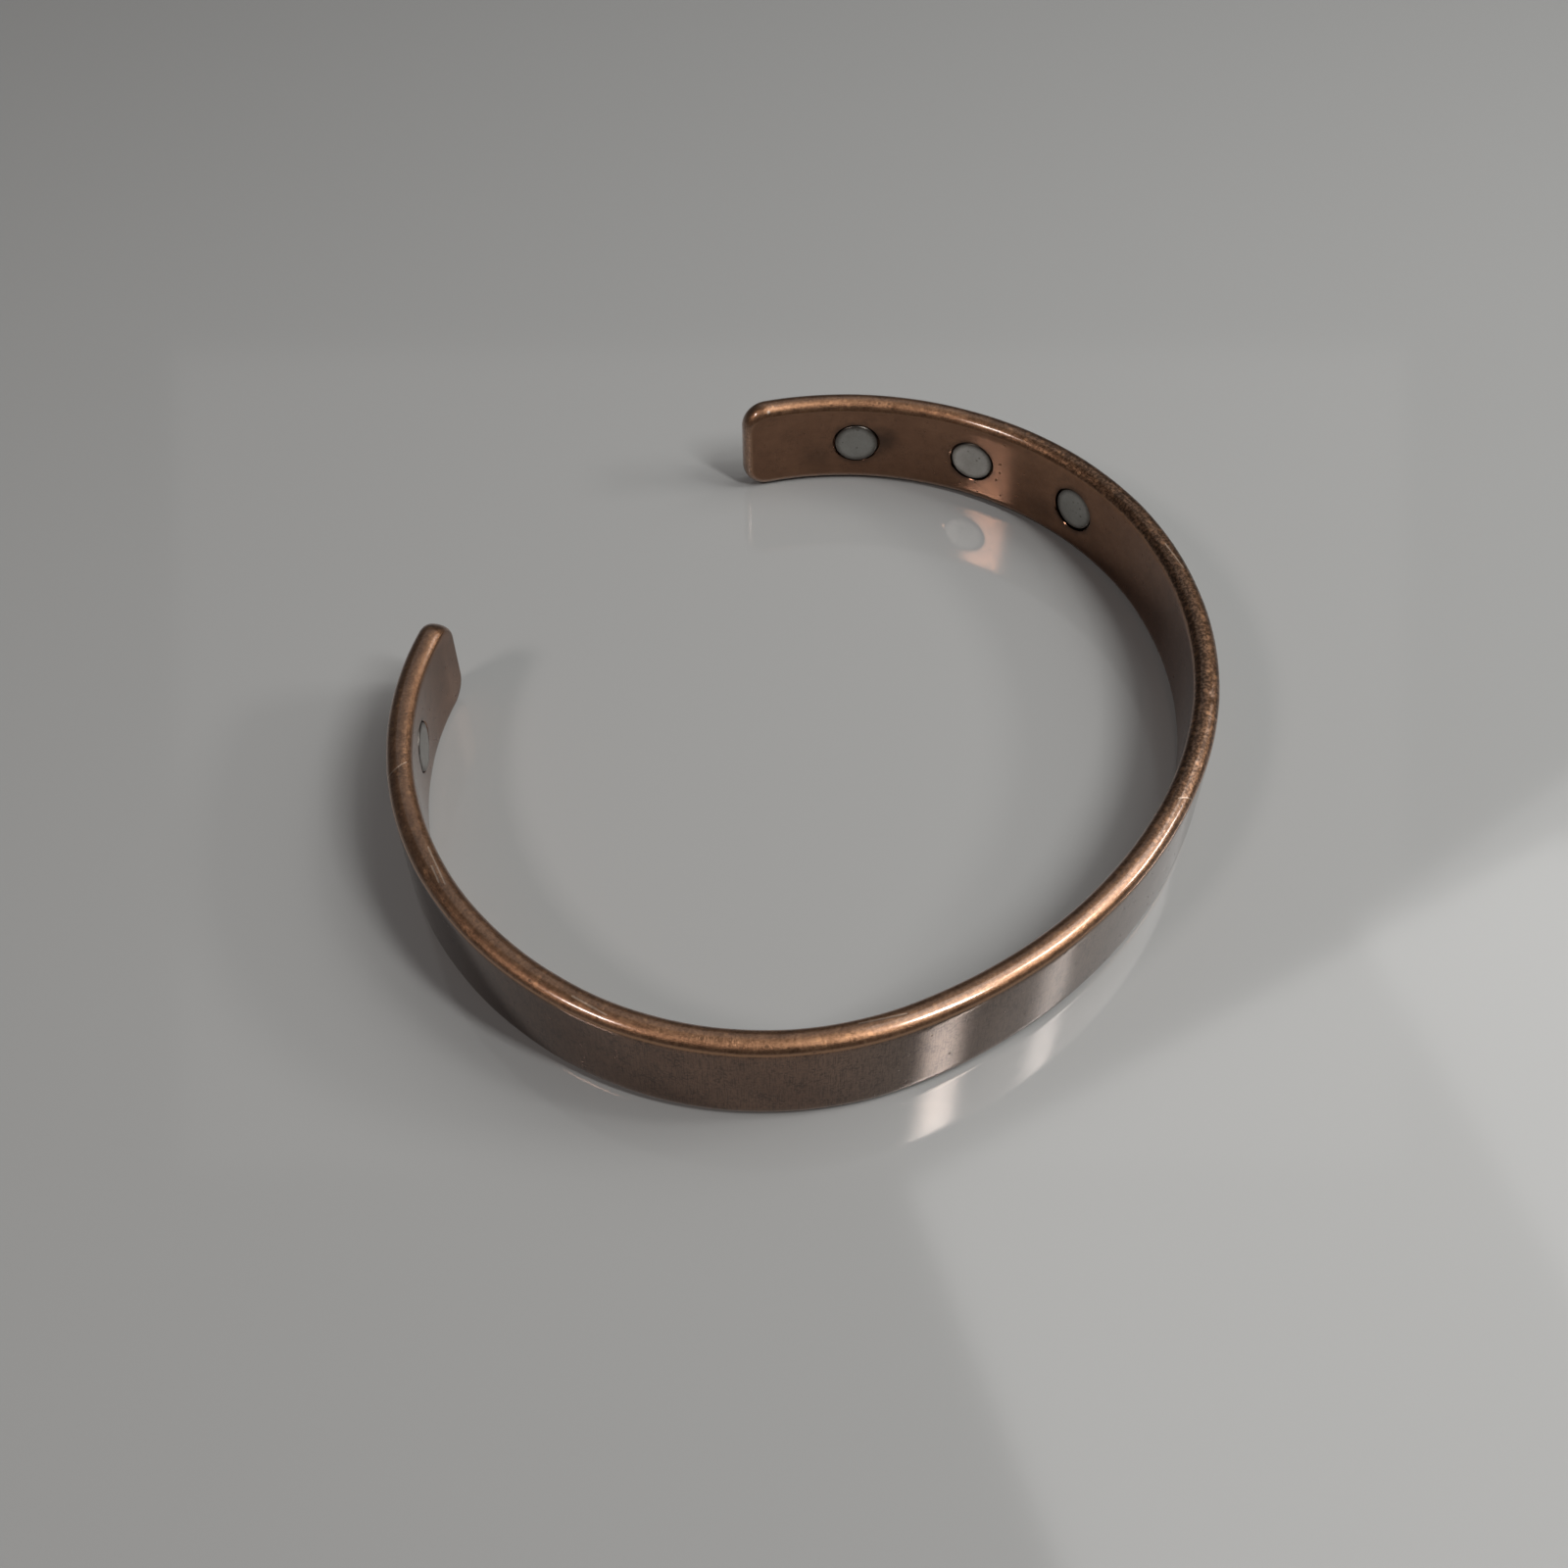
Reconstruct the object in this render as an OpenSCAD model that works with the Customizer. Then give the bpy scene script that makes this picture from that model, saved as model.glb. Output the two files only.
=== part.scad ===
// Magnetic cuff bracelet: one bent copper band, open at its mouth, with six small disc magnets let into
// the inside of its two arms. It lies on its side, as it would on a table. The origin is in the middle of
// the footprint on that surface, +Z is the axis that the wrist goes through, and +Y leads out of the mouth.

/* [Band] */
// Height of the band, from the edge it lies on to the edge on top
band_h = 9; // [7.5:0.5:12]
// Thickness of the band, from its inner wall to its outer wall
band_t = 2.1; // [2:0.1:3]
// Radius that rounds every long edge of the band
edge_r = 0.85; // [0.5:0.05:0.95]
// Radius of the two corners of each open end, seen from the side
corner_r = 2.3; // [1.5:0.1:3.5]

/* [Plan] */
// Radius of the left arm, along the middle of the band
left_arm_r = 30.5; // [29:0.5:34]
// Radius of the left shoulder
left_shoulder_r = 26.5; // [25:0.5:28]
// Radius of the flatter back, left of its middle
left_back_r = 42; // [38:0.5:48]
// Radius of the flatter back, right of its middle
right_back_r = 34; // [32:0.5:37]
// Radius of the right shoulder and arm
right_arm_r = 28; // [27:0.5:30]
// Angle between the outward faces of the two ends
mouth_angle = 60; // [58:0.5:64]

/* [Magnets] */
// Diameter of a magnet
magnet_d = 4; // [3.6:0.1:4.4]
// Thickness of a magnet
magnet_h = 1.2; // [1:0.1:1.25]
// Distance from an open end to the middle of the nearest magnet, along the band
first_magnet = 10.8; // [10:0.1:11.5]
// Distance from the middle of one magnet to the next, along the band
magnet_pitch = 11.4; // [10:0.1:12]
// Gap all round a magnet in its pocket
magnet_gap = 0.1; // [0.05:0.01:0.15]
// How far the magnet nearest an open end stands out of its pocket
magnet_proud = 0.1; // [0:0.02:0.15]
// How far the magnet furthest from an open end is sunk in its pocket
magnet_sunk = 0.12; // [0:0.02:0.15]

/* [Hidden] */
$fn = 96;

// The plan is a chain of arcs, each tangent to the next, from the left end round the back to the right end.
// Each row gives an arc's radius and the angle it sweeps. The last one sweeps what is left over.
RADIUS = 0;
SWEEP = 1;
left_arm_sweep = 75.75;
left_shoulder_sweep = 52.5;
left_back_sweep = 44.5;
right_back_sweep = 41.5;
right_arm_sweep = 360 - mouth_angle - left_arm_sweep - left_shoulder_sweep - left_back_sweep
    - right_back_sweep;
arcs = [
    [left_arm_r, left_arm_sweep],
    [left_shoulder_r, left_shoulder_sweep],
    [left_back_r, left_back_sweep],
    [right_back_r, right_back_sweep],
    [right_arm_r, right_arm_sweep],
];
last = len(arcs) - 1;
// The outward direction at the left end, so that the mouth faces +Y
first_turn = 90 + mouth_angle / 2;
// Neighbouring stretches fuse cleanly only where no two surfaces coincide. So the open ends and every other
// arc are a hair slimmer all round than their neighbours, and reach this far into them.
hair = 0.005;
reach_in = 0.05;

// The magnets, counted along the band from the left end: which arm holds each, its place counted from
// that arm's open end, and how far it stands out
LEFT = -1;
RIGHT = 1;
ARM = 0;
PLACE = 1;
STANDS_OUT = 2;
magnets = [
    [LEFT, 0, magnet_proud],
    [LEFT, 1, 0],
    [LEFT, 2, -magnet_sunk],
    [RIGHT, 2, -magnet_sunk],
    [RIGHT, 1, 0],
    [RIGHT, 0, magnet_proud],
];
magnet_edge = 0.15;
// What a pocket has under its magnet, and what a cutter passes its surface by
pocket_floor_gap = 0.05;
cut_past = 1;

function unit(angle) = [cos(angle), sin(angle)];
function swept(i) = i == 0 ? 0 : arcs[i - 1][SWEEP] + swept(i - 1);
// The outward direction where arc i begins
function turn(i) = first_turn + swept(i);
// The middle of arc i, with the middle of arc 0 at the origin
function middle(i) = i == 0 ? [0, 0]
    : middle(i - 1) + (arcs[i - 1][RADIUS] - arcs[i][RADIUS]) * unit(turn(i));

// How far the band reaches in a direction: the furthest of its arcs' outer edges and of its two ends
function away(angle) = let (a = abs(angle % 360)) min(a, 360 - a);
function beyond(i, angle) = let (to_middle = angle - turn(i) - arcs[i][SWEEP] / 2)
    max(0, away(to_middle) - arcs[i][SWEEP] / 2);
function arc_reach(i, angle) = middle(i) * unit(angle)
    + (arcs[i][RADIUS] + band_t / 2) * cos(beyond(i, angle));
function end_reach(i, outward, along, angle) = middle(i) * unit(angle)
    + (arcs[i][RADIUS] + band_t / 2 - edge_r) * unit(outward) * unit(angle)
    + (corner_r - edge_r) * unit(along) * unit(angle) + edge_r;
function reach(angle) = max(
    max([for (i = [0 : last]) arc_reach(i, angle)]),
    end_reach(0, first_turn, first_turn - 90, angle),
    end_reach(last, turn(last + 1), turn(last + 1) + 90, angle));
footprint_middle = [reach(0) - reach(180), reach(90) - reach(270)] / 2;

// The band's section: thickness along x, height along y, with round corners, and slimmer all round by slim
module section(slim) {
    square([band_t - 2 * edge_r, band_h - 2 * slim], center = true);
    square([band_t - 2 * slim, band_h - 2 * edge_r], center = true);
    for (x = [-1, 1], y = [-1, 1])
        translate([x * (band_t / 2 - edge_r), y * (band_h / 2 - edge_r)]) circle(edge_r - slim);
}

// One arc of the band. The slimmer ones, which are the odd ones, reach into both neighbours.
module arc_run(i) {
    slim = i % 2 * hair;
    past = i % 2 * reach_in / arcs[i][RADIUS] * 180 / PI;
    translate(middle(i))
        rotate_extrude(angle = arcs[i][SWEEP] + 2 * past, start = turn(i) - past)
            translate([arcs[i][RADIUS], 0]) section(slim);
}

// A slice through an open end: it begins at x = 0 and its round outer edge is at x = corner_r
module end_slice() {
    slim_t = band_t - 2 * hair;
    width = corner_r - edge_r;
    translate([0, -slim_t / 2]) square([width, slim_t]);
    translate([0, edge_r - band_t / 2]) square([corner_r - hair, band_t - 2 * edge_r]);
    for (y = [-1, 1]) translate([width, y * (band_t / 2 - edge_r)]) circle(edge_r - hair);
}

// An open end, pointing along +X: the slice goes straight down and turns in at both corners
module open_end() {
    straight = band_h - 2 * corner_r;
    translate([0, 0, -straight / 2]) linear_extrude(straight) end_slice();
    for (side = [0, 1])
        mirror([0, 0, side]) translate([0, 0, straight / 2]) rotate([90, 0, 0])
            rotate_extrude(angle = 90) end_slice();
}

// Puts its children on the middle line of arc i, where the outward direction is the one given: they face
// out along +X
module on_arc(i, outward) {
    translate(middle(i) + arcs[i][RADIUS] * unit(outward)) rotate(outward) children();
}

// Puts its children where a magnet's face lies, with +X leading into the band
module at_magnet(m) {
    i = m[ARM] == LEFT ? 0 : last;
    from_end = first_magnet + m[PLACE] * magnet_pitch - corner_r;
    turned = from_end / arcs[i][RADIUS] * 180 / PI;
    outward = m[ARM] == LEFT ? first_turn + turned : turn(last + 1) - turned;
    on_arc(i, outward) translate([-band_t / 2 - m[STANDS_OUT], 0, 0]) rotate([0, 90, 0]) children();
}

module band_solid() {
    for (i = [0 : last]) arc_run(i);
    on_arc(0, first_turn) rotate(-90) translate([-reach_in, 0, 0]) open_end();
    on_arc(last, turn(last + 1)) rotate(90) translate([-reach_in, 0, 0]) open_end();
}

module seated() {
    translate([-footprint_middle.x, -footprint_middle.y, band_h / 2]) children();
}

module cuff_band() {
    color("peru") seated() difference() {
        band_solid();
        for (m = magnets) at_magnet(m) translate([0, 0, -cut_past])
            cylinder(d = magnet_d + 2 * magnet_gap, h = cut_past + magnet_h + pocket_floor_gap);
    }
}

// A disc with its front edge chamfered
module magnet(m) {
    color("silver") seated() at_magnet(m) {
        cylinder(d1 = magnet_d - 2 * magnet_edge, d2 = magnet_d, h = magnet_edge);
        translate([0, 0, magnet_edge]) cylinder(d = magnet_d, h = magnet_h - magnet_edge);
    }
}

cuff_band();
for (i = [0 : len(magnets) - 1]) magnet(magnets[i]);
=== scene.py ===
import math

import bmesh
import bpy
import numpy as np
from mathutils import Matrix, Vector


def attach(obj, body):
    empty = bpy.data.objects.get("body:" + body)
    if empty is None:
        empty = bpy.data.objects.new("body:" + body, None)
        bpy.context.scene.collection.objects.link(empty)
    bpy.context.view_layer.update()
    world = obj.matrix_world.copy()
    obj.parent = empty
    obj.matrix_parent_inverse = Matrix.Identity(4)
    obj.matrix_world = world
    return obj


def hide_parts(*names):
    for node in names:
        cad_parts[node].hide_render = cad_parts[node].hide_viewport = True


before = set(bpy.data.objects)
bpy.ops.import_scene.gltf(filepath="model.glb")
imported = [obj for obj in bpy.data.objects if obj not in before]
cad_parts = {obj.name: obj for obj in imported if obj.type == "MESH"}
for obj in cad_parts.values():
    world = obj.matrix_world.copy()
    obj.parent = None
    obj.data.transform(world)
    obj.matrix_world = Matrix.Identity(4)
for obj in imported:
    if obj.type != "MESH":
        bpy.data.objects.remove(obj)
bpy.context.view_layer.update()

mm = 0.001
toCm = 100  # from metres, for the maps and the marks on them

# The copper cuff: one band bent into a chain of arcs and open at its mouth
cuff = {
    "height": 9 * mm,  # from the edge it lies on to the edge on top
    "thickness": 2.1 * mm,
    "rimDepth": 0.95 * mm,  # how far down the round rims reach
    "rimSquareness": 2.15,  # 2 rounds the rims as an ellipse, more leaves them flatter
    "innerAt": (0, 30, 110, 150),  # where along the band, in mm, the rims' inner half is how deep, as a
    "innerShare": (0.7, 0.85, 1.0, 1.25),  # share of the depth: the rims were rounded by hand
    "endShare": (0.5, 1.0),  # the same for the left and the right end
    "endTurnPower": 1.5,  # how late in a corner the rounding changes to the end's share
    "cornerRadius": 2.3 * mm,  # the two corners of each open end, seen from the side
    "radii": (30.5, 26.5, 42, 34, 28),  # of the arcs in mm, from the left end round to the right one
    "sweeps": (75.75, 52.5, 44.5, 41.5, 85.75),  # of the arcs in degrees
    "firstTurn": 120,  # the outward direction at the left end, in degrees
    "middleShift": (3.94585, -0.2079),  # in mm, puts the middle of the footprint at the origin
    "stationGap": 0.26 * mm,
    "wallRows": 20,
    "rimSteps": 18,
    "cornerSteps": 18,
    "waviness": 0.02 * mm,  # how far the surface dips below its plain curve
    "slimmer": 0.004 * mm,  # keeps the wavy surface inside the plain band
    "waves": 14,
    "waveSlant": 1.3,
    "waveRateAlong": (0.05, 0.9),  # radians per mm
    "waveRateAround": (-0.5, 0.5),
    "sideWavesShift": 0.05,  # metres along, so that the walls don't dip where the rims do
    "seed": 11,
    "rimnessPower": 6,  # more narrows the line where the finish of a rim meets that of a wall
    "sharpAbove": 35,  # degrees between two faces
}

# Small dents in the top rim, in mm: length along the band, place across it, width and depth
dents = (
    (103.5, 0.4, 0.35, 0.07),
    (100.9, -0.3, 0.45, 0.05),
    (96.2, 0.5, 0.3, 0.05),
    (14.6, 0.2, 0.4, 0.06),
    (52.3, 0.6, 0.3, 0.04),
    (128.5, -0.2, 0.4, 0.05),
    (25.0, 0.4, 0.35, 0.05),
)

# The six magnets, three in each arm
magnets = {
    "diameter": 4 * mm,
    "thickness": 1.2 * mm,
    "edgeRadius": 0.16 * mm,
    "dome": 0.01 * mm,  # how far the middle of a face stands before its edge
    "first": 10.8 * mm,  # from an open end to the nearest magnet
    "pitch": 11.4 * mm,
    "gap": 0.1 * mm,  # round a magnet in its pocket
    "floorGap": 0.05 * mm,  # and behind it
    "flare": 0.03 * mm,  # where the mouth of a pocket begins to widen
    "cutPast": 0.6 * mm,  # how far a pocket's cutter reaches past the wall
    "arms": (-1, -1, -1, 1, 1, 1),  # -1 is the left one
    "places": (0, 1, 2, 2, 1, 0),  # counted from the open end
    "standsOut": (0.1, 0, -0.12, -0.12, 0, 0.1),  # mm
    "tilts": ((0.6, 0.4), (-0.5, 0.3), (0.3, -0.4), (0.5, 0.6), (-0.6, 0.2), (0.4, -0.5)),  # degrees
    "faceRings": 12,
    "edgeSteps": 8,
    "sideSteps": 4,
    "aroundSteps": 96,
    "sharpAbove": 40,
}


def unitOf(angle):  # the unit vector at an angle, for a whole array of angles
    return np.stack((np.cos(angle), np.sin(angle)), -1)


# The band's middle line. An arc's middle lies on the last arc's final radius, which keeps them tangent. At
# length s the outward direction has turned by the length on its arc over the radius, and the point is the
# arc's middle plus the radius times that direction. Past an end the line goes straight on.
def middleLine(s):
    radii = np.array(cuff["radii"]) * mm
    sweeps = np.radians(cuff["sweeps"])
    turns = math.radians(cuff["firstTurn"]) + np.append(0, np.cumsum(sweeps))
    starts = np.append(0, np.cumsum(radii * sweeps))
    steps = (radii[:-1] - radii[1:])[:, None] * unitOf(turns[1:-1])
    middles = np.append(np.zeros((1, 2)), np.cumsum(steps, axis=0), axis=0)
    middles -= np.array(cuff["middleShift"]) * mm
    s = np.asarray(s, float)
    k = np.clip(np.searchsorted(starts, s, side="right") - 1, 0, len(radii) - 1)
    onArcs = np.clip(s, 0, starts[-1])
    outward = unitOf(turns[k] + (onArcs - starts[k]) / radii[k])
    along = np.stack((-outward[..., 1], outward[..., 0]), -1)
    points = middles[k] + radii[k][..., None] * outward + (s - onArcs)[..., None] * along
    return points, outward, along


arcsLength = float(np.sum(np.array(cuff["radii"]) * mm * np.radians(cuff["sweeps"])))


# A rim's profile is half of a squared ellipse: across is half the thickness times cos t to the power 2 / n,
# and the depth below the outline is the rim's depth times one less sin t to the same power.
def rimProfile():
    t = np.linspace(0, math.pi, cuff["rimSteps"] + 1)
    power = 2 / cuff["rimSquareness"]
    across = cuff["thickness"] / 2 * np.sign(np.cos(t)) * np.abs(np.cos(t)) ** power
    depth = cuff["rimDepth"] * (1 - np.abs(np.sin(t)) ** power)
    across[0], across[-1] = cuff["thickness"] / 2, -cuff["thickness"] / 2
    depth[[0, -1]] = cuff["rimDepth"]
    return across, depth


# How deep the rounding is as a share of the rim's depth. The inner half follows its own run along the band,
# the outer half is 1, and towards an end both change to that end's share as the outline's normal turns.
def roundingShare(s, normalS, across):
    inner = np.interp(s / mm, cuff["innerAt"], cuff["innerShare"])
    along = np.where(across < 0, inner, 1 + 0 * inner)
    end = np.where(np.asarray(s) < arcsLength / 2, *cuff["endShare"])
    turned = np.abs(normalS) ** cuff["endTurnPower"]
    return along * (1 - turned) + end * turned


# A grid of quads over rows and columns of vertices that are counted row by row
def gridFaces(rows, columns, first=0):
    i, j = np.meshgrid(np.arange(rows - 1), np.arange(columns - 1), indexing="ij")
    a = (first + i * columns + j).ravel()
    return np.stack((a, a + 1, a + columns + 1, a + columns), -1)


# Makes a mesh object of vertices and faces, merges its doubles and turns its faces outward. Each map gives
# two numbers for every vertex.
def meshObject(name, vertices, faces, maps, mergeWithin=2e-7):
    mesh = bpy.data.meshes.new(name)
    mesh.from_pydata(vertices.tolist(), [], faces.tolist())
    corners = np.zeros(len(mesh.loops), int)
    mesh.loops.foreach_get("vertex_index", corners)
    for mapName, values in maps.items():
        layer = mesh.uv_layers.new(name=mapName)
        layer.uv.foreach_set("vector", values[corners].astype(np.float32).ravel())
    shape = bmesh.new()
    shape.from_mesh(mesh)
    bmesh.ops.remove_doubles(shape, verts=shape.verts, dist=mergeWithin)
    bmesh.ops.dissolve_degenerate(shape, edges=shape.edges, dist=mergeWithin)
    bmesh.ops.recalc_face_normals(shape, faces=shape.faces)
    shape.to_mesh(mesh)
    shape.free()
    piece = bpy.data.objects.new(name, mesh)
    bpy.context.scene.collection.objects.link(piece)
    return piece


def smoothUpTo(piece, degrees):  # smooth shading, with sharp edges where faces turn by more than this
    piece.data.shade_smooth()
    piece.data.set_sharp_from_angle(angle=math.radians(degrees))


# A dip below the plain curve from 0 to 1: the mean of seeded sine waves of the length along the band and of
# a slanting mix of the places across and up it, squared so that most of the surface stays near its curve.
def wavyDip(along, across, up):
    around = up + cuff["waveSlant"] * across
    random = np.random.default_rng(cuff["seed"])
    waves = cuff["waves"]
    rateAlong = random.uniform(*cuff["waveRateAlong"], waves) / mm
    rateAround = random.uniform(*cuff["waveRateAround"], waves) / mm
    phase = random.uniform(0, 2 * math.pi, waves)
    angle = along[..., None] * rateAlong + around[..., None] * rateAround + phase
    return (0.5 + 0.5 * np.clip(np.sin(angle).sum(-1) / math.sqrt(waves), -1, 1)) ** 2


# A dent is its depth times the exponential of minus the squared distance over its squared width
def dentDip(along, across):
    dip = np.zeros_like(along)
    for s, x, width, depth in dents:
        apart = ((along / mm - s) ** 2 + (across / mm - x) ** 2) / width ** 2
        dip += depth * mm * np.exp(-apart)
    return dip


# The band. Its outline, seen from the side, runs along the top and round the corner of each end down to
# where the corner ends, and the bottom is its mirror image. A ring of vertices crosses it at every station:
# over the top rim, down the inner wall, under the bottom rim and up the outer wall. A rim vertex lies its
# depth inside the outline, along the outline's normal, and a wall vertex divides the height between the
# rims. Then the surface dips by its waves and dents, and the middle line bends the whole of it.
def makeBand():
    half = cuff["height"] / 2
    corner = cuff["cornerRadius"]
    turn = np.linspace(math.pi / 2, 0, cuff["cornerSteps"] + 1)
    sine, cosine = np.sin(turn), np.cos(turn)
    stations = int(round(arcsLength / cuff["stationGap"])) + 1
    straight = np.linspace(0, arcsLength, stations)[1:-1]
    flat = np.zeros(len(straight))
    outlineS = np.concatenate((-corner * sine, straight, arcsLength + corner * sine[::-1]))
    normalS = np.concatenate((-sine, flat, sine[::-1]))
    normalZ = np.concatenate((cosine, flat + 1, cosine[::-1]))
    outlineZ = corner * normalZ + (half - corner)
    across, depth = rimProfile()
    down = np.linspace(1, 0, cuff["wallRows"] + 1)[1:-1]
    wallAcross = np.full(len(down), -across[0])
    wallDepth = np.full(len(down), cuff["rimDepth"])
    ones = np.ones(len(across))
    ringX = np.concatenate((across, wallAcross, across[::-1], -wallAcross, across[:1]))
    ringDepth = np.concatenate((depth, wallDepth, depth, wallDepth, depth[:1]))
    ringF = np.concatenate((ones, down, 0 * ones, down[::-1], ones[:1]))
    inset = ringDepth * roundingShare(outlineS[:, None], normalS[:, None], ringX)
    s = outlineS[:, None] - inset * normalS[:, None]
    z = (outlineZ[:, None] - inset * normalZ[:, None]) * (2 * ringF - 1)
    x = ringX + 0 * s
    parts = [(s, x, z)]
    faces = [gridFaces(*s.shape)]
    count = s.size
    # each end is closed by the rim's profile carried straight down between its two corners
    middleF = np.linspace(1, 0, cuff["wallRows"] + 1)[:, None]
    for side in (-1, 1):
        base = -corner if side < 0 else arcsLength + corner
        capS = base - side * depth * roundingShare(base, side, across) + 0 * middleF
        capZ = (half - corner) * (2 * middleF - 1) + 0 * depth
        capX = across + 0 * middleF
        parts.append((capS, capX, capZ))
        faces.append(gridFaces(*capS.shape, first=count))
        count += capS.size
    s, x, z = (np.concatenate([part[n].ravel() for part in parts]) for n in range(3))
    faces = np.concatenate(faces)
    # how much of the surface faces up or along, for the finish: 0 on a wall and 1 on top of a rim
    rimness = 1 - np.clip(np.abs(x) / (cuff["thickness"] / 2), 0, 1) ** cuff["rimnessPower"]
    squeeze = 1 - (cuff["waviness"] * wavyDip(s, x, z) + dentDip(s, x) * (z > 0)) / half
    sideDip = cuff["slimmer"] + cuff["waviness"] * wavyDip(s + cuff["sideWavesShift"], x, z)
    inward = 1 - sideDip / (cuff["thickness"] / 2)
    points, outward, along = middleLine(s)
    placed = np.column_stack((points + outward * (x * inward)[:, None], z * squeeze + half))
    maps = {
        "run": np.column_stack((s, z + half)) * toCm,
        "place": np.column_stack((rimness, np.clip(x / cuff["thickness"] + 0.5, 0, 1))),
    }
    return meshObject("copperBand", placed, faces, maps)


def magnetLength(m):  # how far along the middle line magnet m sits
    fromEnd = magnets["first"] + magnets["places"][m] * magnets["pitch"] - cuff["cornerRadius"]
    return fromEnd if magnets["arms"][m] < 0 else arcsLength - fromEnd


# Where magnet m sits, as a matrix: the middle of its face, which lies half the band's thickness and what
# it stands out inside the middle line, then the way along the band, up and outward as its axes, tilted
def seatMatrix(m, tilt=(0, 0)):
    point, outward, along = middleLine(magnetLength(m))
    face = point - outward * (cuff["thickness"] / 2 + magnets["standsOut"][m] * mm)
    axes = Matrix(((*along, 0), (0, 0, 1), (*outward, 0))).transposed().to_4x4()
    turn = Matrix.Rotation(math.radians(tilt[0]), 4, "X") @ Matrix.Rotation(math.radians(tilt[1]), 4, "Y")
    return Matrix.Translation((*face, cuff["height"] / 2)) @ axes @ turn


# A turned shape: the profile's radius and height are carried round the axis. Its place is a matrix whose
# third column is the axis.
def turned(name, radius, height, place, steps):
    angle = np.linspace(0, 2 * math.pi, steps + 1)
    grid = np.stack((
        radius[:, None] * np.cos(angle),
        radius[:, None] * np.sin(angle),
        height[:, None] + 0 * angle,
    ), -1).reshape(-1, 3)
    placed = grid @ np.array(place.to_3x3()).T + np.array(place.translation)
    return meshObject(name, placed, gridFaces(len(radius), steps + 1), {"run": grid[:, :2] * toCm})


# A magnet is turned from this profile: the face drops with the square of the radius, its front edge is
# nearly a quarter circle, and the side goes straight back to a narrow slope and a flat back
def makeMagnet(m):
    radius, edge = magnets["diameter"] / 2, magnets["edgeRadius"]
    thick, dome = magnets["thickness"], magnets["dome"]
    t = np.linspace(0, math.pi / 2, magnets["edgeSteps"] + 1)[1:]
    flat = np.linspace(0, radius - edge, magnets["faceRings"])
    side = np.linspace(edge, thick - edge / 2, magnets["sideSteps"] + 1)[1:]
    profileR = np.concatenate((
        flat,
        radius - edge + edge * np.sin(t),
        np.full(len(side), radius),
        [radius - edge / 2, 0],
    ))
    profileZ = np.concatenate((
        dome * (flat / (radius - edge)) ** 2,
        dome + (edge - dome) * (1 - np.cos(t)),
        side,
        [thick, thick],
    ))
    place = seatMatrix(m, magnets["tilts"][m])
    return turned("magnetDisc" + str(m + 1), profileR, profileZ, place, magnets["aroundSteps"])


# What cuts a magnet's pocket is turned from the pocket's floor, its side and a cone that widens by as much
# as it passes the wall
def makeCutter(m):
    radius = magnets["diameter"] / 2 + magnets["gap"]
    floor = magnets["thickness"] + magnets["floorGap"]
    lip = magnets["flare"] + magnets["standsOut"][m] * mm
    past = magnets["cutPast"]
    profileR = np.array([0, radius, radius, radius + past, 0])
    profileZ = np.array([floor, floor, lip, lip - past, lip - past])
    return turned("cutter" + str(m + 1), profileR, profileZ, seatMatrix(m), magnets["aroundSteps"])


# Takes each cutter out of the band and keeps the band's new mesh
def cutPockets(band):
    for m in range(len(magnets["arms"])):
        cutter = makeCutter(m)
        cut = band.modifiers.new("pocket", "BOOLEAN")
        cut.operation = "DIFFERENCE"
        cut.solver = "EXACT"
        cut.object = cutter
        done = bpy.data.meshes.new_from_object(band.evaluated_get(bpy.context.evaluated_depsgraph_get()))
        band.modifiers.clear()
        old = band.data
        band.data = done
        bpy.data.meshes.remove(old)
        bpy.data.objects.remove(cutter)
    band.data.name = "copperBand"


band = makeBand()
cutPockets(band)
smoothUpTo(band, cuff["sharpAbove"])
print("the band has", len(band.data.polygons), "faces")
discs = [makeMagnet(m) for m in range(len(magnets["arms"]))]
for disc in discs:
    smoothUpTo(disc, magnets["sharpAbove"])
print("the magnets are in their pockets")


# Shader helpers. A node is made by its type, with its inputs set or linked and its settings.
def node(tree, kind, inputs=None, **settings):
    made = tree.nodes.new(kind)
    for key, value in settings.items():
        setattr(made, key, value)
    for key, value in (inputs or {}).items():
        if isinstance(value, bpy.types.NodeSocket):
            tree.links.new(value, made.inputs[key])
        else:
            made.inputs[key].default_value = value
    return made


def maths(tree, operation, a, b=0.0, clamp=False):
    return node(tree, "ShaderNodeMath", {0: a, 1: b}, operation=operation, use_clamp=clamp).outputs[0]


def times(tree, a, b):
    return maths(tree, "MULTIPLY", a, b)


def vectors(tree, operation, inputs, give="Vector"):
    return node(tree, "ShaderNodeVectorMath", inputs, operation=operation).outputs[give]


def noise(tree, vector, scale, detail, roughness=0.5):
    inputs = {"Vector": vector, "Scale": scale, "Detail": detail, "Roughness": roughness}
    return node(tree, "ShaderNodeTexNoise", inputs).outputs["Fac"]


def spread(tree, value, low, high, start=0.0, end=1.0):  # moves low..high smoothly to start..end
    inputs = {"Value": value, "From Min": low, "From Max": high, "To Min": start, "To Max": end}
    return node(tree, "ShaderNodeMapRange", inputs, interpolation_type="SMOOTHSTEP").outputs["Result"]


def blendValue(tree, mask, a, b):
    return node(tree, "ShaderNodeMix", {0: mask, 2: a, 3: b}).outputs[0]


def blendColour(tree, mask, a, b):
    return node(tree, "ShaderNodeMix", {0: mask, 6: a, 7: b}, data_type="RGBA").outputs[2]


def lay(tree, colour, mask, share, tone):  # covers a share of a masked colour with a tone
    return blendColour(tree, times(tree, mask, share), colour, tone)


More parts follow.
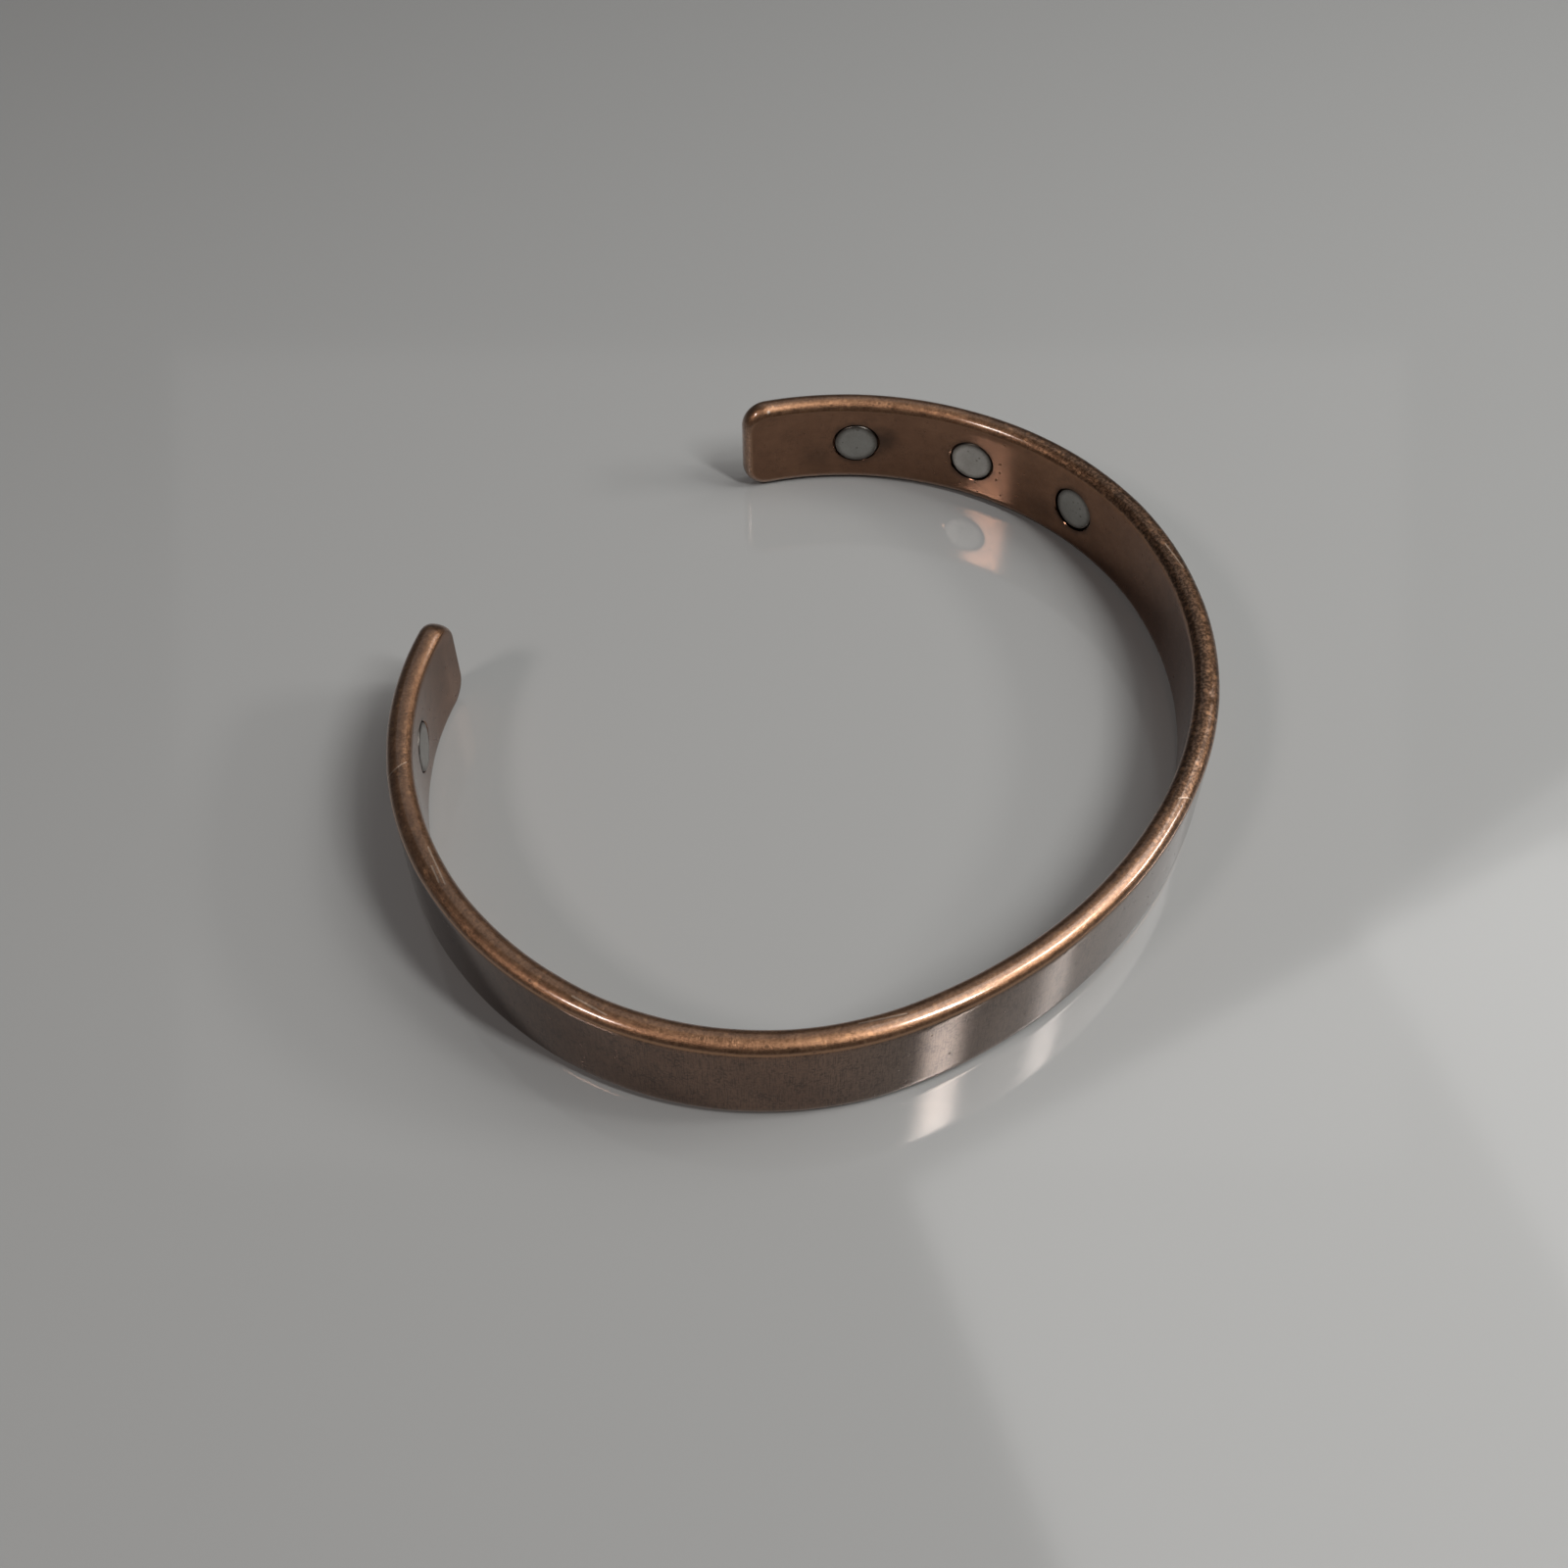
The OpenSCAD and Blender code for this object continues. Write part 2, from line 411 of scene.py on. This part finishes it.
# A node group with one mask as its output. Its inputs are vectors, or numbers where the default is one.
def newGroup(name, inputs):
    group = bpy.data.node_groups.new(name, "ShaderNodeTree")
    for key, value in inputs.items():
        kind = "NodeSocketFloat" if isinstance(value, float) else "NodeSocketVector"
        socket = group.interface.new_socket(key, in_out="INPUT", socket_type=kind)
        if value is not None:
            socket.default_value = value
    group.interface.new_socket("Mask", in_out="OUTPUT", socket_type="NodeSocketFloat")
    given = group.nodes.new("NodeGroupInput").outputs
    return group, given, group.nodes.new("NodeGroupOutput").inputs["Mask"]


def useGroup(tree, group, **inputs):
    return node(tree, "ShaderNodeGroup", inputs, node_tree=group).outputs["Mask"]


# Tarnish that comes and goes in soft patches, from two sizes of noise
def tarnishGroup():
    group, given, mask = newGroup("tarnishPatches", {"Vector": None, "Size": 200.0, "Sharpness": 0.15})
    broadShare, fineShare, fineTimes = 0.68, 0.32, 7.0
    broad = noise(group, given["Vector"], given["Size"], 5.0, 0.6)
    fine = noise(group, given["Vector"], times(group, given["Size"], fineTimes), 4.0, 0.65)
    both = maths(group, "ADD", times(group, broad, broadShare), times(group, fine, fineShare))
    low = maths(group, "SUBTRACT", 0.5, given["Sharpness"])
    high = maths(group, "ADD", 0.5, given["Sharpness"])
    group.links.new(spread(group, both, low, high), mask)
    return group


# Fine scratches or grain: noise drawn out along one direction of the map
def scratchGroup():
    inputs = {"Vector": None, "Stretch": (1.0, 1.0, 1.0), "Threshold": 0.6}
    group, given, mask = newGroup("fineScratches", inputs)
    softness = 0.12
    drawn = vectors(group, "MULTIPLY", {0: given["Vector"], 1: given["Stretch"]})
    lines = noise(group, drawn, 1.0, 3.0, 0.7)
    above = maths(group, "ADD", given["Threshold"], softness)
    group.links.new(spread(group, lines, given["Threshold"], above), mask)
    return group


# Specks: the middles of small cells, of which only a share is kept
def speckGroup():
    inputs = {"Vector": None, "Scale": 1500.0, "Share": 0.3, "Radius": 0.3}
    group, given, mask = newGroup("smallSpecks", inputs)
    fullWithin = 0.5  # of the radius
    cells = node(group, "ShaderNodeTexVoronoi", {"Vector": given["Vector"], "Scale": given["Scale"]})
    inner = times(group, given["Radius"], fullWithin)
    near = spread(group, cells.outputs["Distance"], inner, given["Radius"], 1.0, 0.0)
    picked = node(group, "ShaderNodeSeparateColor", {0: cells.outputs["Color"]}).outputs[0]
    kept = maths(group, "LESS_THAN", picked, given["Share"])
    group.links.new(times(group, near, kept), mask)
    return group


# A stain round a point of the band's own map, 1 in the middle and 0 past its radius, with a wandering edge
def stainGroup():
    inputs = {"Vector": None, "Centre": (0.0, 0.0, 0.0), "Radius": 0.3, "Softness": 0.1}
    group, given, mask = newGroup("roundStain", inputs)
    wanderScale, wander = 9.0, 0.1
    wobble = times(group, noise(group, given["Vector"], wanderScale, 3.0), wander)
    apart = vectors(group, "DISTANCE", {0: given["Vector"], 1: given["Centre"]}, "Value")
    inner = maths(group, "SUBTRACT", given["Radius"], given["Softness"])
    moved = maths(group, "ADD", apart, wobble)
    group.links.new(spread(group, moved, inner, given["Radius"], 1.0, 0.0), mask)
    return group


# One scratch: how near a place is to the straight line from a point along a direction, for a given length
def scratchLineGroup():
    inputs = {"Vector": None, "Start": (0.0, 0.0, 0.0), "Way": (1.0, 0.0, 0.0), "Length": 0.3, "Width": 0.008}
    group, given, mask = newGroup("oneScratch", inputs)
    wanderScale, wander, fadeTimes = 14.0, 0.012, 2.0
    wobble = times(group, noise(group, given["Vector"], wanderScale, 4.0), wander)
    fromStart = vectors(group, "SUBTRACT", {0: given["Vector"], 1: given["Start"]})
    along = vectors(group, "DOT_PRODUCT", {0: fromStart, 1: given["Way"]}, "Value")
    onLine = maths(group, "MINIMUM", maths(group, "MAXIMUM", along, 0.0), given["Length"])
    foot = vectors(group, "SCALE", {0: given["Way"], 3: onLine})
    moved = maths(group, "ADD", vectors(group, "DISTANCE", {0: fromStart, 1: foot}, "Value"), wobble)
    faded = times(group, given["Width"], fadeTimes)
    group.links.new(spread(group, moved, given["Width"], faded, 1.0, 0.0), mask)
    return group


tarnishPatches = tarnishGroup()
fineScratches = scratchGroup()
smallSpecks = speckGroup()
roundStain = stainGroup()
oneScratch = scratchLineGroup()

# The patterns in the copper: a group, what it follows and its values. The spot is a place in metres, and
# the run is the band's own map of length and height in cm.
copperPatterns = {
    "patches": (tarnishPatches, "spot", {"Size": 150.0, "Sharpness": 0.2}),
    "smallPatches": (tarnishPatches, "spot", {"Size": 800.0, "Sharpness": 0.14}),
    "grains": (tarnishPatches, "spot", {"Size": 4200.0, "Sharpness": 0.1}),
    "upright": (fineScratches, "run", {"Stretch": (120.0, 5.0, 1.0), "Threshold": 0.5}),
    "lengthwise": (fineScratches, "run", {"Stretch": (4.0, 150.0, 1.0), "Threshold": 0.52}),
    "specks": (smallSpecks, "spot", {"Scale": 1900.0, "Share": 0.12, "Radius": 0.34}),
    "flecks": (smallSpecks, "spot", {"Scale": 1700.0, "Share": 0.3, "Radius": 0.42}),
    "paleSpecks": (smallSpecks, "spot", {"Scale": 700.0, "Share": 0.05, "Radius": 0.16}),
}

copperLook = {
    "outerDark": (0.18, 0.099, 0.064, 1),
    "outerWarm": (0.265, 0.153, 0.102, 1),
    "outerGrey": (0.16, 0.132, 0.112, 1),
    "innerDark": (0.19, 0.095, 0.055, 1),
    "innerWarm": (0.27, 0.14, 0.082, 1),
    "rimDark": (0.2, 0.1, 0.052, 1),
    "rimBright": (0.38, 0.206, 0.114, 1),
    "rimTarnish": (0.085, 0.046, 0.026, 1),
    "crease": (0.62, 0.33, 0.17, 1),
    # a dark tone for stains, grain and mottling, and for the painted shade on the outer wall's left part
    "stainAndShade": (0.05, 0.03, 0.02, 1),
    "scratch": (0.6, 0.45, 0.34, 1),
    "pale": (0.7, 0.62, 0.54, 1),
    # cm along the band
    "shadeFrom": (3.2, 4.6),  # where the painted shade over the outer wall's left part ends
    "greyFrom": (5.5, 6.5),  # and where it turns greyer
    "tarnishedFrom": (7.9, 9.8),  # where the rims turn darker
    "tarnishedTo": (13.2, 15.0),  # and where they clear again
    # how much of the surface each covers at the most
    # painted shade: how dark the left part of the outer wall is made, as if it mirrored the shadowed floor
    "leftShade": 0.38,
    "greyShare": 0.55,
    "grainShare": 0.3,
    "uprightShare": 0.55,
    "outerMottling": 0.6,
    "lengthwiseShare": 0.12,
    "innerMottling": 0.25,
    "dullShare": 0.95,
    "fleckShare": 0.4,
    "creaseShare": (0.12, 0.5),  # on the inner and on the outer side
    "speckShare": (0.14, 0.5),  # on the walls and on the rims
    "paleShare": 0.5,
    "scratchShare": 0.7,
    "wornShares": (0.45, 0.55),  # small patches and grains in the wear of the rims
    # from which to which value of a pattern or a map
    "grainFrom": (0.3, 0.9),
    "mottlingFrom": (0.4, 0.9),
    "mottlingGrains": (0.2, 0.9),
    "dullGrains": (0.2, 0.95, 1.0, 0.3),
    "outerFrom": (0.3, 0.7),
    "rimFrom": (0.05, 0.5),
    "rimToneFrom": (0.1, 0.5),
    "creaseFrom": (0.04, 0.2),
    "creaseTo": (0.3, 0.55),
    # the surface
    "outerRoughness": 0.07,
    "innerRoughness": 0.1,
    "rimRoughness": 0.36,
    "patchRoughness": 0.05,
    "speckRoughness": 0.2,
    "wallCoat": 0.22,
    "rimCoat": 1.0,
    "dullCoat": 0.35,
    "coatRoughness": 0.14,
    "coatIor": 1.65,
    "grainHeight": 0.5,
    "uprightHeight": 0.25,
    "wallHeight": 0.07,
    "relief": 0.3,
    "reliefDepth": 0.00004,
}

# Stains on the inner wall in cm: middle along and up the band, radius and softness, then the share
stains = {
    "besideMagnet": ((15.27, 0.49, 0), 0.27, 0.2, 0.8),
    "nearEnd": ((15.9, 0.3, 0), 0.3, 0.28, 0.35),
    "underMagnet": ((13.6, 0.25, 0), 0.3, 0.25, 0.3),
    "leftArm": ((1.6, 0.35, 0), 0.35, 0.3, 0.3),
}
magnetRing = {"radius": 0.33, "softness": 0.09, "share": 0.75}  # the dark ring round each magnet, in cm

# Scratches over the rims: from where to where, each as length along the band and place across it in mm
scratches = (
    ((14.9, 1.0), (13.9, -0.6)),
    ((22.6, -0.5), (26.4, -0.2)),
    ((24.4, -0.1), (26.0, 0.1)),
    ((40.2, 0.1), (43.0, 0.35)),
    ((60.5, -0.4), (63.8, -0.1)),
    ((93.3, 0.9), (92.6, 0.1)),
    ((118.0, 0.3), (121.0, 0.0)),
)
scratchWidth = 0.008  # cm


def newMetal(name, look):  # a coated metal, with its tree, its shader and the two maps it reads
    made = bpy.data.materials.new(name)
    made.use_nodes = True
    tree = made.node_tree
    surface = tree.nodes["Principled BSDF"]
    surface.inputs["Metallic"].default_value = 1.0
    surface.inputs["Coat Roughness"].default_value = look["coatRoughness"]
    surface.inputs["Coat IOR"].default_value = look["coatIor"]
    maps = {
        "spot": node(tree, "ShaderNodeTexCoord").outputs["Object"],
        "run": node(tree, "ShaderNodeUVMap", uv_map="run").outputs["UV"],
    }
    return made, tree, surface, maps


def patternMasks(tree, patterns, maps):
    masks = {}
    for name, (group, follows, values) in patterns.items():
        masks[name] = useGroup(tree, group, Vector=maps[follows], **values)
    return masks


def addRelief(tree, surface, height, look, **settings):
    inputs = {"Height": height, "Strength": look["relief"], "Distance": look["reliefDepth"]}
    bump = node(tree, "ShaderNodeBump", inputs, **settings)
    tree.links.new(bump.outputs["Normal"], surface.inputs["Normal"])


# The outer wall: copper in two tones, greyer along its right part, grained, mottled, and with painted shade
# over its left part
def outerWallTone(tree, masks, mottling, alongRun):
    look = copperLook
    tone = blendColour(tree, masks["patches"], look["outerDark"], look["outerWarm"])
    grey = spread(tree, alongRun, *look["greyFrom"], 0.0, look["greyShare"])
    tone = blendColour(tree, grey, tone, look["outerGrey"])
    grained = spread(tree, masks["grains"], *look["grainFrom"], 0.0, look["grainShare"])
    tone = blendColour(tree, grained, tone, look["stainAndShade"])
    tone = lay(tree, tone, masks["upright"], look["uprightShare"], look["stainAndShade"])
    tone = lay(tree, tone, mottling, look["outerMottling"], look["stainAndShade"])
    # painted shade: the left part is darkened with the dark tone, as the wall there mirrors the shadowed
    # floor
    shade = spread(tree, alongRun, *look["shadeFrom"], look["leftShade"], 0.0)
    return blendColour(tree, shade, tone, look["stainAndShade"])


# The inner wall: smoother, with its stains and a dark ring round each magnet
def innerWallTone(tree, masks, mottling, run):
    look = copperLook
    tone = blendColour(tree, masks["patches"], look["innerDark"], look["innerWarm"])
    tone = lay(tree, tone, masks["lengthwise"], look["lengthwiseShare"], look["stainAndShade"])
    tone = lay(tree, tone, mottling, look["innerMottling"], look["stainAndShade"])
    marks = list(stains.values())
    for m in range(len(magnets["arms"])):
        middle = (magnetLength(m) * toCm, cuff["height"] / 2 * toCm, 0)
        marks.append((middle, magnetRing["radius"], magnetRing["softness"], magnetRing["share"]))
    for middle, radius, softness, share in marks:
        mark = useGroup(tree, roundStain, Vector=run, Centre=middle, Radius=radius, Softness=softness)
        tone = lay(tree, tone, mark, share, look["stainAndShade"])
    return tone


# The rims: worn grains, a tarnished stretch and small bright flecks
def rimTone(tree, masks, dull):
    look = copperLook
    patchShare, grainShare = look["wornShares"]
    worn = maths(tree, "ADD", times(tree, masks["smallPatches"], patchShare),
                 times(tree, masks["grains"], grainShare))
    tone = blendColour(tree, worn, look["rimDark"], look["rimBright"])
    tone = lay(tree, tone, dull, look["dullShare"], look["rimTarnish"])
    return lay(tree, tone, masks["flecks"], look["fleckShare"], look["crease"])


# All the scratches as one mask. The ends of each are laid through the middle line, and the mask reads
# places seen from above in cm, so a scratch runs straight on over the round of a rim.
def scratchMask(tree, spot):
    flatSpot = vectors(tree, "MULTIPLY", {0: spot, 1: (toCm, toCm, 0)})
    mask = None
    for ends in scratches:
        s, x = np.array(ends).T * mm
        points, outward, along = middleLine(s)
        start, end = (points + outward * x[:, None]) * toCm
        way = Vector((*(end - start), 0))
        line = useGroup(tree, oneScratch, Vector=flatSpot, Start=(*start, 0), Way=way.normalized(),
                        Length=way.length, Width=scratchWidth)
        mask = line if mask is None else maths(tree, "MAXIMUM", mask, line)
    return mask


def copperMaterial():
    look = copperLook
    made, tree, surface, maps = newMetal("tarnishedCopper", look)
    masks = patternMasks(tree, copperPatterns, maps)
    place = node(tree, "ShaderNodeUVMap", uv_map="place").outputs["UV"]
    split = node(tree, "ShaderNodeSeparateXYZ", {0: place})
    rim, outer = split.outputs["X"], spread(tree, split.outputs["Y"], *look["outerFrom"])
    onRim = spread(tree, rim, *look["rimFrom"])
    alongRun = node(tree, "ShaderNodeSeparateXYZ", {0: maps["run"]}).outputs["X"]
    mottling = times(tree, spread(tree, masks["smallPatches"], *look["mottlingFrom"]),
                     spread(tree, masks["grains"], *look["mottlingGrains"]))
    dull = times(tree, spread(tree, alongRun, *look["tarnishedFrom"]),
                 spread(tree, alongRun, *look["tarnishedTo"], 1.0, 0.0))
    dull = times(tree, dull, spread(tree, masks["grains"], *look["dullGrains"]))
    lines = times(tree, scratchMask(tree, maps["spot"]), onRim)
    # colour: the two walls, the rims, and a bright crease where they meet
    innerTone = innerWallTone(tree, masks, mottling, maps["run"])
    wall = blendColour(tree, outer, innerTone, outerWallTone(tree, masks, mottling, alongRun))
    toRim = spread(tree, rim, *look["rimToneFrom"])
    colour = blendColour(tree, toRim, wall, rimTone(tree, masks, dull))
    crease = times(tree, spread(tree, rim, *look["creaseFrom"]),
                   spread(tree, rim, *look["creaseTo"], 1.0, 0.0))
    crease = times(tree, crease, spread(tree, outer, 0.0, 1.0, *look["creaseShare"]))
    colour = blendColour(tree, crease, colour, look["crease"])
    speckShare = spread(tree, rim, *look["rimFrom"], *look["speckShare"])
    colour = lay(tree, colour, masks["specks"], speckShare, look["stainAndShade"])
    colour = lay(tree, colour, masks["paleSpecks"], look["paleShare"], look["pale"])
    colour = lay(tree, colour, lines, look["scratchShare"], look["scratch"])
    tree.links.new(colour, surface.inputs["Base Color"])
    # roughness, and a coat that is thin on the walls and on tarnish
    rough = blendValue(tree, outer, look["innerRoughness"], look["outerRoughness"])
    rough = blendValue(tree, onRim, rough, look["rimRoughness"])
    rough = maths(tree, "ADD", rough, times(tree, masks["smallPatches"], look["patchRoughness"]))
    rough = maths(tree, "ADD", rough, times(tree, masks["specks"], look["speckRoughness"]), clamp=True)
    tree.links.new(rough, surface.inputs["Roughness"])
    coat = spread(tree, rim, *look["rimFrom"], look["wallCoat"], look["rimCoat"])
    coat = times(tree, coat, spread(tree, dull, 0.0, 1.0, 1.0, look["dullCoat"]))
    tree.links.new(coat, surface.inputs["Coat Weight"])
    # relief, nearly all of it on the rims
    height = maths(tree, "ADD", times(tree, masks["grains"], look["grainHeight"]),
                   times(tree, masks["upright"], look["uprightHeight"]))
    height = maths(tree, "SUBTRACT", height, maths(tree, "ADD", masks["specks"], lines))
    height = times(tree, height, spread(tree, rim, *look["rimFrom"], look["wallHeight"], 1.0))
    addRelief(tree, surface, height, look)
    return made


magnetPatterns = {
    "patches": (tarnishPatches, "spot", {"Size": 600.0, "Sharpness": 0.3}),
    "lines": (fineScratches, "run", {"Stretch": (60.0, 9.0, 1.0), "Threshold": 0.55}),
    "specks": (smallSpecks, "spot", {"Scale": 2400.0, "Share": 0.15, "Radius": 0.34}),
}

magnetLook = {
    "plate": (0.36, 0.355, 0.335, 1),
    "dull": (0.27, 0.262, 0.24, 1),
    # dark tone for the dirty specks and for the painted shade round the edge of each face
    "dirtAndShade": (0.06, 0.045, 0.035, 1),
    "speckShare": 0.5,
    "paintedRingShadeFrom": (0.15, 0.205),  # where the painted shade round the edge of each face spans, in cm from the middle of the face
    "paintedRingShadeWander": 0.02,
    "paintedRingShadeShare": 0.8,
    "roughness": 0.3,
    "patchRoughness": 0.08,
    "lineRoughness": 0.08,
    "coat": 0.3,
    "coatRoughness": 0.15,
    "coatIor": 1.5,
    "relief": 0.1,
    "reliefDepth": 0.00004,
}


def magnetMaterial():
    look = magnetLook
    made, tree, surface, maps = newMetal("dullPlating", look)
    masks = patternMasks(tree, magnetPatterns, maps)
    surface.inputs["Coat Weight"].default_value = look["coat"]
    colour = blendColour(tree, masks["patches"], look["plate"], look["dull"])
    colour = lay(tree, colour, masks["specks"], look["speckShare"], look["dirtAndShade"])
    # painted shade: a dark ring round the edge of each face, standing for the shade in the gap of its pocket
    fromMiddle = vectors(tree, "LENGTH", {0: maps["run"]}, "Value")
    wander = maths(tree, "ADD", fromMiddle, times(tree, masks["patches"], look["paintedRingShadeWander"]))
    colour = lay(tree, colour, spread(tree, wander, *look["paintedRingShadeFrom"]), look["paintedRingShadeShare"], look["dirtAndShade"])
    tree.links.new(colour, surface.inputs["Base Color"])
    rough = maths(tree, "ADD", times(tree, masks["patches"], look["patchRoughness"]), look["roughness"])
    rough = maths(tree, "ADD", rough, times(tree, masks["lines"], look["lineRoughness"]), clamp=True)
    tree.links.new(rough, surface.inputs["Roughness"])
    addRelief(tree, surface, maths(tree, "ADD", masks["lines"], masks["specks"]), look, invert=True)
    return made


band.data.materials.clear()
band.data.materials.append(copperMaterial())
plating = magnetMaterial()
for disc in discs:
    disc.data.materials.append(plating)
print("the finishes are on")

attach(band, "root")
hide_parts("cuff_band")
for m, disc in enumerate(discs):
    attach(disc, "root")
    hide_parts("magnet_" + str(m + 1))

# The floor, plain and pale, and a dim sky
stage = {
    "size": 3.0,
    "colour": (0.31, 0.314, 0.31, 1),
    "roughness": 0.08,
    "sky": (0.8, 0.83, 0.86, 1),
    "skyStrength": 0.06,
}
floorHalf = stage["size"] / 2
floorCorners = [(x * floorHalf, y * floorHalf, 0) for x, y in ((-1, -1), (1, -1), (1, 1), (-1, 1))]
floorMesh = bpy.data.meshes.new("floor")
floorMesh.from_pydata(floorCorners, [], [(0, 1, 2, 3)])
floor = bpy.data.objects.new("floor", floorMesh)
bpy.context.scene.collection.objects.link(floor)
floorPaint = bpy.data.materials.new("paleFloor")
floorPaint.use_nodes = True
paint = floorPaint.node_tree.nodes["Principled BSDF"]
paint.inputs["Base Color"].default_value = stage["colour"]
paint.inputs["Roughness"].default_value = stage["roughness"]
floorMesh.materials.append(floorPaint)

world = bpy.data.worlds.new("studio")
bpy.context.scene.world = world
world.use_nodes = True
sky = world.node_tree.nodes["Background"]
sky.inputs["Color"].default_value = stage["sky"]
sky.inputs["Strength"].default_value = stage["skyStrength"]

# The camera as in the photo: where it stands, what it looks at, its turn about its own axis and its lens
camera = {
    "place": (-67.54, -62.9, 109.85),  # mm
    "target": (-4.89, 0.135, 0),  # mm
    "roll": -0.185,  # degrees
    "lens": 39.61,
    "sensor": 36,  # mm, as the lens
    "clipStart": 0.005,  # metres
}
photoRight = Vector((0.7093, -0.7049, 0))  # the photo's right and its far side, seen from above
photoAway = Vector((0.7049, 0.7093, 0))


def aim(thing, target, roll=0.0):  # turns a camera or a light toward a target, and about its own axis
    direction = Vector(target) - thing.location
    turn = direction.to_track_quat("-Z", "Y").to_matrix().to_4x4()
    rolled = turn @ Matrix.Rotation(math.radians(roll), 4, "Z")
    thing.matrix_world = Matrix.Translation(thing.location) @ rolled


eye = bpy.data.objects.new("camera", bpy.data.cameras.new("camera"))
bpy.context.scene.collection.objects.link(eye)
eye.location = Vector(camera["place"]) * mm
aim(eye, Vector(camera["target"]) * mm, camera["roll"])
eye.data.sensor_width = camera["sensor"]
eye.data.lens = camera["lens"]
eye.data.clip_start = camera["clipStart"]
bpy.context.scene.camera = eye
bpy.context.scene.view_settings.view_transform = "Standard"

# Soft panels round the cuff: direction to the photo's right, away from the camera and up, then the
# distance and size in metres, the power in watts and the tint
panels = {
    "rightStrip": ((0.46, -0.32, 0.82), 0.42, (0.034, 0.14), 0.72, (1, 0.99, 0.98)),
    "rightPanel": ((0.56, -0.03, 0.82), 0.42, (0.035, 0.09), 0.2, (1, 0.99, 0.98)),
    "rightHigh": ((0.44, 0.14, 0.89), 0.42, (0.3, 0.24), 0.5, (1, 0.99, 0.97)),
    "rightLow": ((0.72, 0.2, 0.7), 0.42, (0.34, 0.2), 0.28, (1, 0.99, 0.98)),
    "leftPanel": ((-0.56, -0.41, 0.72), 0.6, (0.1, 0.09), 0.8, (1, 0.9, 0.87)),
    "rightEdge": ((0.86, 0.08, 0.5), 0.42, (0.11, 0.05), 0.4, (1, 0.98, 0.96)),
    "backGlow": ((0, 0.64, 0.77), 0.7, (0.6, 0.4), 0.2, (1, 0.97, 0.95)),
}
for name, (direction, distance, size, power, tint) in panels.items():
    light = bpy.data.objects.new(name, bpy.data.lights.new(name, "AREA"))
    light.data.shape = "RECTANGLE"
    light.data.size, light.data.size_y = size
    light.data.energy = power
    light.data.color = tint
    toward = photoRight * direction[0] + photoAway * direction[1] + Vector((0, 0, direction[2]))
    light.location = toward.normalized() * distance
    aim(light, (0, 0, 0))
    light.visible_camera = False
    bpy.context.scene.collection.objects.link(light)
print("the camera and the lights are set")

bpy.context.view_layer.update()
